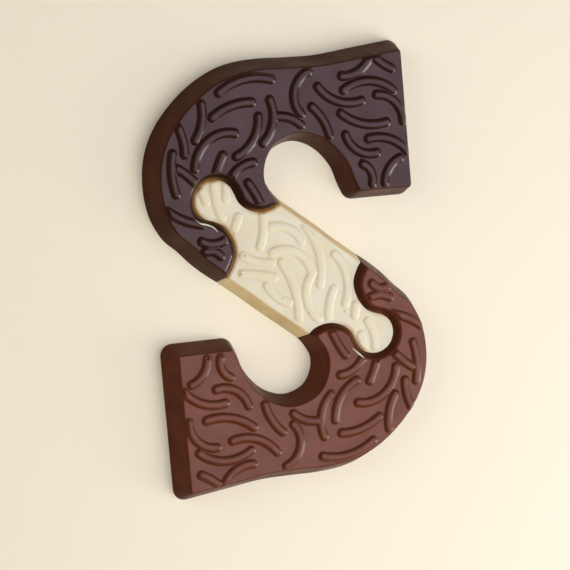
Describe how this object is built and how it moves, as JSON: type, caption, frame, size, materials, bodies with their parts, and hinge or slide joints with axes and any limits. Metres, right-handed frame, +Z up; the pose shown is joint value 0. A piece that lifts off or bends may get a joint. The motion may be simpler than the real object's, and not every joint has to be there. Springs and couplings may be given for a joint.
{
  "type": "chocolate letter",
  "caption": "Chocolate letter S lying on its back, cast in dark, white and milk chocolate that lock together in jigsaw joints, with raised curved strokes on its face",
  "frame": {"origin": "middle of the letter's footprint, on the surface that its back lies on", "axes": "+X to the letter's right, +Y to the letter's top, +Z up out of its patterned face"},
  "size_m": [0.125, 0.1832, 0.0117],
  "materials": {
    "dark_chocolate": "satin",
    "white_chocolate": "satin",
    "milk_chocolate": "satin"
  },
  "bodies": {
    "root": {"dark_bowl": "dark_chocolate", "white_diagonal": "white_chocolate", "milk_bowl": "milk_chocolate"}
  },
  "joints": []
}
